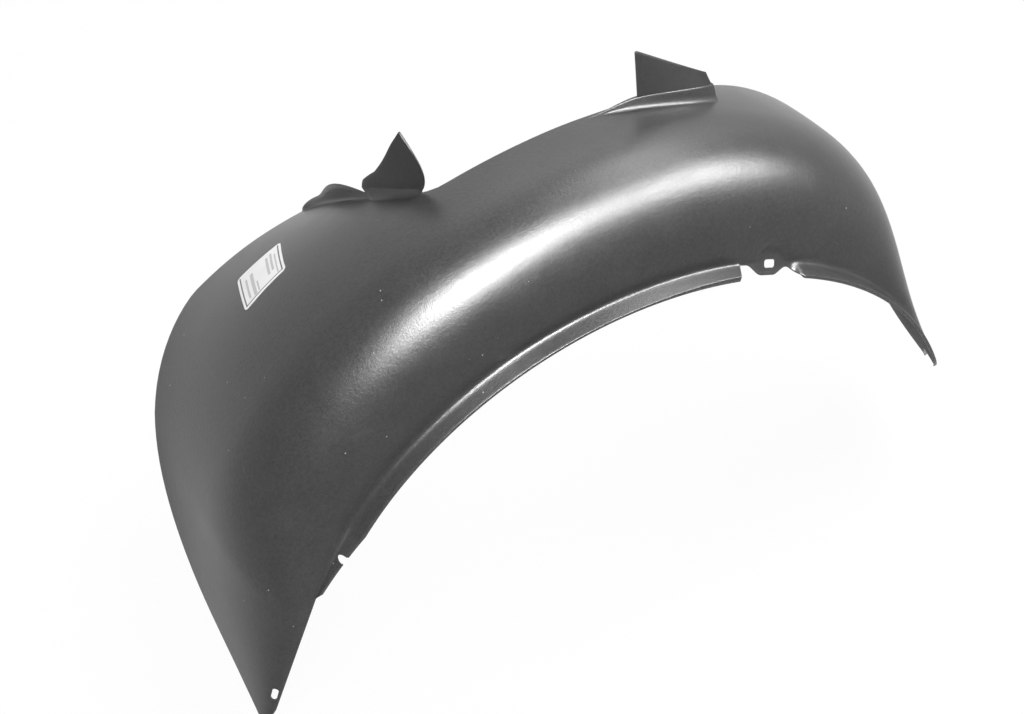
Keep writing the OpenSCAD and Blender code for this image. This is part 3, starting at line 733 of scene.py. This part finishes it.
class Label:
    """The label on the rear shoulder: a rounded rectangle laid on the moulded surface, in millimetres."""

    at, inboard, corner = 133.3, 238.5, 5.0
    count, tries, nudge, seat = 24, 6, 0.01, 0.02

    def __init__(self, arch, sizes):
        self.arch, self.w, self.d = arch, sizes.label_width / MM, sizes.label_depth / MM
        self.thick = sizes.label_sheet / MM

    def grid(self):
        """Local places of the grid: rows across the depth, each as wide as the rounded outline there."""
        v = (self.d / 2) * np.sin(np.radians(np.linspace(-90, 90, self.count)))
        inset = np.maximum(0, np.abs(v) - (self.d / 2 - self.corner))
        half = self.w / 2 - self.corner + np.sqrt(np.maximum(0, self.corner ** 2 - inset ** 2))
        s = np.linspace(-1, 1, self.count)
        return half[:, None] * s, np.repeat(v[:, None], self.count, 1)

    def on_shell(self, u, v):
        """The surface above local (u, v) and its direction, by a few Newton steps on angle and depth."""
        here, along, outboard, _ = self.arch.axes_at(self.at, self.inboard, self.nudge)
        across = -outboard
        t, y, e = self.at + u / self.arch.along, self.inboard + v, self.nudge
        for _ in range(self.tries):
            p = self.arch.surface(t, y)
            dt, dy = (self.arch.surface(t + e, y) - p) / e, (self.arch.surface(t, y + e) - p) / e
            miss_u, miss_v = u - (p - here) @ along, v - (p - here) @ across
            a, b, c, d = dt @ along, dy @ along, dt @ across, dy @ across
            whole = a * d - b * c
            t, y = t + (d * miss_u - b * miss_v) / whole, y + (a * miss_v - c * miss_u) / whole
        p = self.arch.surface(t, y)
        dt, dy = self.arch.surface(t + e, y) - p, self.arch.surface(t, y + e) - p
        return p, unit(np.cross(dy, dt))


class Value:
    """A number or colour socket of a shader, so that maths reads as a plain expression."""

    def __init__(self, shader, socket):
        self.shader, self.socket = shader, socket

    def math(self, kind, *others):
        """A maths node of this kind over the values given."""
        return self.shader.node("ShaderNodeMath", {"operation": kind}, *others)

    def __add__(self, other):
        return self.math("ADD", self, other)

    def __sub__(self, other):
        return self.math("SUBTRACT", self, other)

    def __rsub__(self, other):
        return self.math("SUBTRACT", other, self)

    def __mul__(self, other):
        return self.math("MULTIPLY", self, other)

    def __gt__(self, other):
        return self.math("GREATER_THAN", self, other)

    def __lt__(self, other):
        return self.math("LESS_THAN", self, other)

    def other(self, output):
        """Another output of the node that this value comes from, by name or place."""
        return Value(self.shader, self.socket.node.outputs[output])

    def absolute(self):
        """The value without its sign."""
        return self.math("ABSOLUTE", self)

    def between(self, low, high):
        """0 at low and 1 at high, in proportion between them and held outside."""
        inputs = {"From Min": low, "From Max": high}
        return self.shader.node("ShaderNodeMapRange", {"clamp": True}, self, **inputs)

    __radd__, __rmul__ = __add__, __mul__


class Shader:
    """The nodes of a material or of the world: every node comes from one method."""

    def __init__(self, owner):
        self.owner = owner
        self.owner.use_nodes = True
        self.tree = owner.node_tree
        self.tree.nodes.clear()

    def node(self, kind, settings=None, *values, output=0, **named):
        """Adds a node: its settings first, then its sockets by order and by name; gives one output."""
        made = self.tree.nodes.new(kind)
        for key, value in (settings or {}).items():
            setattr(made, key, value)
        for key, value in [*enumerate(values), *named.items()]:
            if isinstance(value, Value):
                self.tree.links.new(value.socket, made.inputs[key])
            elif value is not None:
                made.inputs[key].default_value = value
        return Value(self, made.outputs[output]) if made.outputs else made

    def blend(self, share, first, second):
        """Colour mix: first at 0 and second at 1."""
        first, second = [end if isinstance(end, Value) else (*end, 1.0) for end in (first, second)]
        settings = {"data_type": "RGBA", "clamp_factor": True}
        return self.node("ShaderNodeMix", settings, share, *[None] * 5, first, second, output=2)

    def noise(self, where, size, detail=2.0, roughness=0.5, distortion=0.0):
        """Noise from 0 to 1 whose features are about size metres across."""
        return self.node("ShaderNodeTexNoise", {"noise_dimensions": "3D"}, Vector=where, Scale=1 / size,
                         Detail=detail, Roughness=roughness, Distortion=distortion)

    def principled(self, **sockets):
        """Ends the material with one principled shader and gives the material."""
        shader = self.node("ShaderNodeBsdfPrincipled", None, **sockets)
        self.node("ShaderNodeOutputMaterial", None, Surface=shader)
        return self.owner


PLASTIC = "moulded plastic"
# The second colour is painted shade: the near black given to the shaded underside of the sheet and to the
# shaded tabs.
SPECK_COLOUR, PAINTED_SHADE_COLOUR, STAIN_COLOUR = (0.42, 0.42, 0.41), (0.006, 0.006, 0.0065), (0.62, 0.61, 0.58)


def moulded_plastic(finish):
    """Dark moulded plastic: sandy grain, soft mottling, rubbed edges, fine scuffs, a few pale specks and
    painted shade.
    """
    mottle_size, broad_size, speck_area, specks_per_metre = 0.028, 0.11, 0.03, 75.0
    grain_share, sand_share, mottle_share, broad_share = 1.1, 0.5, 0.22, 0.25
    roughness, grain_rough, mottle_rough, painted_shade_rough = 0.32, 0.14, 0.09, 0.3
    s = Shader(bpy.data.materials.new(PLASTIC))
    where = s.node("ShaderNodeTexCoord", None, output=3)
    grain = s.noise(where, finish.grain, 3.0, 0.65)
    sand = s.noise(where, finish.grain * 3.2, 2.0, 0.6)
    mottle = s.noise(where, mottle_size, 3.0, 0.55)
    broad = s.noise(where, broad_size, 2.0, 0.5, 0.4)
    along_scuffs = {"Rotation": (0.3, 0.5, 0.9), "Scale": (9.0, 60.0, 60.0)}
    stretch = s.node("ShaderNodeMapping", None, Vector=where, **along_scuffs)
    lines = s.noise(stretch, 1.0, 2.0, 0.5, 0.6)
    scuff = lines.between(0.68, 0.76) * mottle.between(0.5, 0.62)
    cells = s.node("ShaderNodeTexVoronoi", {"feature": "F1"}, Vector=where, Scale=specks_per_metre)
    chance = s.noise(where, speck_area, 0.0).between(0.60, 0.66)
    speck = (cells < 0.05) * chance
    edge = s.node("ShaderNodeAttribute", {"attribute_name": "worn"}, output=2)
    # Painted shade: the mark on the points darkens the plastic to near black and makes it rougher.
    painted_shade = s.node("ShaderNodeAttribute", {"attribute_name": "painted_shade"}, output=2)
    rub = edge * (0.35 + grain * 0.8)
    tone = 0.2 + (grain - 0.5) * grain_share + (sand - 0.5) * sand_share
    tone = tone + (mottle - 0.5) * mottle_share + (broad - 0.5) * broad_share + rub * 0.5 + scuff * 0.25
    base = s.blend(tone.between(0.0, 1.0), finish.plastic, finish.plastic_worn)
    outer = s.blend(speck, base, SPECK_COLOUR)
    shaded_colour = s.blend(painted_shade, outer, PAINTED_SHADE_COLOUR)
    rough = roughness + (mottle - 0.5) * mottle_rough + (grain - 0.5) * grain_rough
    rough = rough + scuff * 0.1 - rub * 0.06 + painted_shade * painted_shade_rough
    height = grain * 0.6 + sand * 0.5
    bump = s.node("ShaderNodeBump", None, Strength=0.6, Distance=0.0005, Height=height)
    return s.principled(**{"Base Color": shaded_colour, "Roughness": rough, "Normal": bump,
                           "Specular IOR Level": 0.32})


def shared_plastic(finish):
    """The moulded plastic, made once for all the pieces of the panel."""
    return bpy.data.materials.get(PLASTIC) or moulded_plastic(finish)


PALE_FIELDS = ((17.0, 1.2, -4.0, 20.0), (10.0, 1.9, -5.0, 23.0), (5.2, 0.9, -17.0, 10.0),
               (-9.5, 1.4, 2.0, 20.0), (-14.5, 1.3, 4.0, 20.0), (-19.0, 0.8, -6.0, 22.0))


def label_paper(finish, wide, deep):
    """White label: a dark line near both side edges, one near the outboard edge, and plain pale fields.

    All places are in millimetres from the middle of the label, u along the panel and v across it. Each
    pale field is its middle and half its size, first along u and then along v.
    """
    side_gap, side_half, low_gap, low_half, end_gap, soft = 3.4, 0.75, 4.5, 0.8, 3.5, 0.12
    s = Shader(bpy.data.materials.new("label paper"))
    uv = s.node("ShaderNodeUVMap", {"uv_map": "label"})
    parts = s.node("ShaderNodeSeparateXYZ", None, uv)
    u = (parts - 0.5) * wide
    v = (parts.other(1) - 0.5) * deep
    where = s.node("ShaderNodeTexCoord", None, output=3)
    fibre = s.noise(where, 0.0016, 3.0, 0.6)
    stain = s.noise(where, 0.02, 2.0, 0.5)

    def band(value, middle, half):
        """1 within half of middle, with an edge of a quarter millimetre."""
        return (value - middle).absolute().between(half + soft, half - soft)

    def field(middle_u, half_u, middle_v, half_v):
        """1 inside a rectangle."""
        return band(u, middle_u, half_u) * band(v, middle_v, half_v)

    side = wide / 2 - side_gap
    frame_lines = band(u.absolute(), side, side_half) * band(v, 0.0, deep / 2 - end_gap)
    frame_lines = frame_lines + band(v, low_gap - deep / 2, low_half) * band(u, 0.0, side)
    pale = field(*PALE_FIELDS[0])
    for place in PALE_FIELDS[1:]:
        pale = pale + field(*place)
    pale = pale * (0.55 + fibre * 0.5)
    paper = s.blend(stain.between(0.45, 0.75) * 0.18, finish.paper, STAIN_COLOUR)
    base = s.blend(pale.between(0.0, 1.0), paper, finish.print_pale)
    ink = (0.75 + fibre * 0.4).between(0.0, 1.0)
    base = s.blend(frame_lines.between(0.0, 1.0) * ink, base, finish.print_dark)
    rough = 0.5 + (fibre - 0.5) * 0.16 + (stain - 0.5) * 0.1
    bump = s.node("ShaderNodeBump", None, Strength=0.2, Distance=0.0002, Height=fibre)
    return s.principled(**{"Base Color": base, "Roughness": rough, "Normal": bump})


def seen_white(s, share):
    """Share of plain white in what the camera, a reflection or glass sees, and 0 for all other rays."""
    path = s.node("ShaderNodeLightPath")
    seen = path.other("Is Camera Ray")
    for ray in ("Is Glossy Ray", "Is Transmission Ray"):
        seen = seen.math("MAXIMUM", seen, path.other(ray))
    return seen * share


def properties(context):
    """The arch with its sizes, and the finishes, that an operator works from."""
    sizes, finish = context.scene.fender_sizes, context.scene.fender_finish
    return Arch(sizes), sizes, finish


def panel_piece(arch, name, loops, painted_shade, finish):
    """A piece of the panel from loops in millimetres, with its share of painted shade on every point."""
    mesh = ring_mesh(name, arch.metres(loops))
    mark(mesh, "painted_shade", np.broadcast_to(painted_shade, loops.shape[:2]).reshape(-1))
    finish_piece(new_piece(name, mesh), "panel", shared_plastic(finish))


def mesh_in_metres(arch, mesh):
    """Turns a cutter from millimetres about the arch centre to metres about the clip hole."""
    points = np.empty(len(mesh.vertices) * 3, np.float32)
    mesh.vertices.foreach_get("co", points)
    mesh.vertices.foreach_set("co", arch.metres(points.reshape(-1, 3)).astype(np.float32).reshape(-1))
    mesh.update()
    return mesh


def cutters(arch):
    """Closed shapes for the clip hole, the rear notch, the tail slot and the cut of the nose."""
    reach, wedge_reach, notch_from, notch_to = 30.0, 60.0, -250.0, 60.0
    pad = (arch.pad_u, arch.pad_v, arch.pad_out)
    hole = prism(rounded_outline(arch.clip_w, arch.clip_h, arch.clip_corner), arch.clip, pad, -reach, reach)
    turn = np.radians(np.linspace(0, 180, 25))
    top = np.stack([np.cos(turn), np.sin(turn)], -1) * arch.notch_r + (0, arch.notch_up)
    low = -arch.notch_below
    notch = np.concatenate([top, [(-arch.notch_r, low), (arch.notch_r - arch.notch_draft, low)]])
    angle = math.radians(arch.notch_at)
    out = np.array([math.cos(angle), 0, math.sin(angle)])
    side = np.array([math.sin(angle), 0, -math.cos(angle)])
    square = (side, out, np.array([0, -1.0, 0]))
    notch = prism(notch, out * arch.r, square, notch_from, notch_to)
    here, *axes = arch.axes_at(arch.slot_at, arch.slot_in, -1.0)
    slot = prism(rounded_outline(arch.slot_l, arch.slot_w, arch.slot_w / 2), here, axes, -reach, reach)
    here, *axes = arch.axes_at(arch.vee_at, arch.vee_in, -1.0)
    wedge = np.array([(0, 0), (arch.vee_l, -arch.vee_l / 2), (arch.vee_l, arch.vee_l / 2)], float)
    wedge = prism(wedge, here, axes, -wedge_reach, wedge_reach)
    return [mesh_in_metres(arch, mesh) for mesh in (hole, notch, slot, wedge)]


class FENDER_OT_shell(bpy.types.Operator):
    """Builds the moulded shell with its clip hole, notch, nose cut and tail slot"""

    bl_idname = "fender.shell"
    bl_label = "Moulded shell"

    def execute(self, context):
        arch, _, finish = properties(context)
        loops, *marks = arch.loops()
        mesh = ring_mesh("shell", arch.metres(loops))
        # Marks the rubbed edges, and the painted shade of the sheet's underside.
        for name, values in zip(("worn", "painted_shade"), marks):
            mark(mesh, name, np.tile(values, len(loops)))
        piece = new_piece("shell", mesh)
        cut(piece, cutters(arch))
        finish_piece(piece, "panel", shared_plastic(finish))
        return {"FINISHED"}


class FENDER_OT_riser(bpy.types.Operator):
    """Builds the step on the crown and the upright tab that stands on it"""

    bl_idname = "fender.riser"
    bl_label = "Riser and upright tab"

    def execute(self, context):
        arch, sizes, finish = properties(context)
        # The upright tab is darkened by painted shade at three quarters; the riser gets none.
        riser, tab_painted_shade = Riser(arch, sizes), 0.75
        panel_piece(arch, "riser", riser.loops(), 0.0, finish)
        panel_piece(arch, "upright_tab", riser.tab_loops(), tab_painted_shade, finish)
        return {"FINISHED"}


class FENDER_OT_leaf(bpy.types.Operator):
    """Builds the leaf tab on the inboard edge"""

    bl_idname = "fender.leaf"
    bl_label = "Leaf tab"

    def execute(self, context):
        arch, sizes, finish = properties(context)
        loops = Leaf(arch, sizes).loops()
        # Painted shade: the leaf tab grows darker towards its top.
        leaf_painted_shade = 0.7 * smooth(np.linspace(-0.3, 1.2, len(loops)))
        panel_piece(arch, "leaf_tab", loops, leaf_painted_shade[:, None], finish)
        return {"FINISHED"}


class FENDER_OT_label(bpy.types.Operator):
    """Lays the plain label on the rear shoulder"""

    bl_idname = "fender.label"
    bl_label = "Label"

    def execute(self, context):
        arch, sizes, finish = properties(context)
        label = Label(arch, sizes)
        u, v = label.grid()
        low, out = label.on_shell(u, v)
        loops = np.concatenate([low + out * label.thick, (low + out * label.seat)[:, ::-1]], 1)
        mesh = ring_mesh("label_sheet", arch.metres(loops))
        place = np.stack([u / label.w + 0.5, v / label.d + 0.5], -1)
        place = np.concatenate([place, place[:, ::-1]], 1).reshape(-1, 2)
        corner = np.empty(len(mesh.loops), np.int32)
        mesh.loops.foreach_get("vertex_index", corner)
        layer = mesh.uv_layers.new(name="label")
        layer.data.foreach_set("uv", place[corner].reshape(-1))
        piece = new_piece("label_sheet", mesh)
        finish_piece(piece, "label", label_paper(finish, label.w, label.d))
        return {"FINISHED"}


# Each lamp: name, degrees around and above, size in metres, watts, and whether only glossy rays see it.
AIM, STAND_OFF = Vector((-0.16, 0.03, 0.06)), 2.0
LAMPS = (("overhead", 100.0, 64.0, (1.5, 1.1), 52.0, False),
         ("front", -35.0, 50.0, (1.2, 0.9), 22.0, False),
         ("back sheen", 150.0, 42.0, (2.6, 1.4), 20.0, True),
         ("streak left", -21.0, 37.0, (0.66, 0.86), 235.0, True),
         ("streak middle", 7.0, 49.0, (0.75, 0.62), 95.0, True),
         ("streak right", 38.0, 42.0, (0.70, 0.46), 72.0, True),
         ("streak end", 64.0, 36.0, (0.50, 0.40), 72.0, True))
FLOOR_HALF, FLOOR_GAP, FLOOR_WHITE, FLOOR_GRAIN, SKY = 4, 0.004, 0.95, 0.02, 0.35
CAMERA_AIM, CAMERA_AROUND, CAMERA_RISE = Vector((-0.234385, 0.046187, -0.052502)), -27.017, 44.888
FOCAL_PIXELS, PHOTO_PIXELS, FILM_WIDTH = 2254.764, 1024, 36.0


def stand(holder, aim, around, rise):
    """Stands a lamp or camera at STAND_OFF from aim, so many degrees around it and above it, facing it.

    0 degrees around is on the outboard side, and the angle grows towards the nose end.
    """
    around, rise = math.radians(around), math.radians(rise)
    away = Vector((math.sin(around) * math.cos(rise), -math.cos(around) * math.cos(rise), math.sin(rise)))
    turn = away.to_track_quat("Z", "Y").to_matrix().to_4x4()
    holder.matrix_world = Matrix.Translation(aim + away * STAND_OFF) @ turn


class FENDER_OT_stage(bpy.types.Operator):
    """Sets the floor, the lamps, the world and the camera"""

    bl_idname = "fender.stage"
    bl_label = "Studio"

    def execute(self, context):
        scene, finish = context.scene, context.scene.fender_finish
        low, high = [np.array(corner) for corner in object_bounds()]
        middle = (low + high) / 2
        square = np.array([(-1, -1), (1, -1), (1, 1), (-1, 1)], float) * FLOOR_HALF
        corners = np.concatenate([square + middle[:2], np.full((4, 1), low[2] - FLOOR_GAP)], 1)
        floor = bpy.data.objects.new("floor", raw_mesh("floor", corners, [0, 1, 2, 3], [4]))
        scene.collection.objects.link(floor)
        s = Shader(bpy.data.materials.new("pale floor"))
        grain = s.noise(s.node("ShaderNodeTexCoord", None, output=3), FLOOR_GRAIN, 3.0)
        tone = s.blend(grain * 0.1, finish.floor, [0.9 * c for c in finish.floor])
        lit = s.node("ShaderNodeBsdfDiffuse", None, Color=tone)
        white = s.node("ShaderNodeEmission", None, Color=(1, 1, 1, 1), Strength=1.0)
        mixed = s.node("ShaderNodeMixShader", None, seen_white(s, FLOOR_WHITE), lit, white)
        s.node("ShaderNodeOutputMaterial", None, mixed)
        floor.data.materials.append(s.owner)
        floor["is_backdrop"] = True

        for name, around, rise, size, energy, glossy_only in LAMPS:
            lamp = bpy.data.lights.new(name, "AREA")
            lamp.shape, lamp.size, lamp.size_y, lamp.energy = "RECTANGLE", *size, energy
            holder = bpy.data.objects.new(name, lamp)
            scene.collection.objects.link(holder)
            holder.visible_diffuse = not glossy_only
            stand(holder, AIM, around, rise)

        w = Shader(bpy.data.worlds.new("studio"))
        soft = w.node("ShaderNodeBackground", None, Color=(1, 1, 1, 1), Strength=SKY)
        plain = w.node("ShaderNodeBackground", None, Color=(1, 1, 1, 1), Strength=1.0)
        both = w.node("ShaderNodeMixShader", None, seen_white(w, 1.0), soft, plain)
        w.node("ShaderNodeOutputWorld", None, both)
        scene.world = w.owner

        camera = bpy.data.objects.new("camera", bpy.data.cameras.new("camera"))
        camera.data.sensor_width, camera.data.lens = FILM_WIDTH, FILM_WIDTH * FOCAL_PIXELS / PHOTO_PIXELS
        camera.data.clip_end = 20.0
        scene.collection.objects.link(camera)
        stand(camera, CAMERA_AIM, CAMERA_AROUND, CAMERA_RISE)
        scene.camera = camera
        scene.view_settings.view_transform = "Standard"
        return {"FINISHED"}


class FENDER_PT_sidebar(bpy.types.Panel):
    """Lists the pieces and their sizes in the sidebar of the 3D view"""

    bl_idname = "FENDER_PT_sidebar"
    bl_label = "Fender panel"
    bl_space_type = "VIEW_3D"
    bl_region_type = "UI"
    bl_category = "Fender panel"

    def draw(self, context):
        layout = self.layout
        for group in (context.scene.fender_sizes, context.scene.fender_finish):
            box = layout.box()
            for name in group.__annotations__:
                box.prop(group, name)
        for step in STEPS:
            layout.operator(step.bl_idname)


STEPS = (FENDER_OT_shell, FENDER_OT_riser, FENDER_OT_leaf, FENDER_OT_label, FENDER_OT_stage)
CLASSES = (FENDER_PG_sizes, FENDER_PG_finish, *STEPS, FENDER_PT_sidebar)


def register():
    """Registers every class and hangs the two groups of properties on the scene."""
    for cls in CLASSES:
        bpy.utils.register_class(cls)
    bpy.types.Scene.fender_sizes = PointerProperty(type=FENDER_PG_sizes)
    bpy.types.Scene.fender_finish = PointerProperty(type=FENDER_PG_finish)


def unregister():
    """Takes back what register did."""
    del bpy.types.Scene.fender_finish
    del bpy.types.Scene.fender_sizes
    for cls in reversed(CLASSES):
        bpy.utils.unregister_class(cls)


def main():
    """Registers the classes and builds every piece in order."""
    register()
    for build in (bpy.ops.fender.shell, bpy.ops.fender.riser, bpy.ops.fender.leaf, bpy.ops.fender.label,
                  bpy.ops.fender.stage):
        if build() != {"FINISHED"}:
            raise RuntimeError("a piece could not be built")
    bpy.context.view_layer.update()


if __name__ == "__main__":
    main()
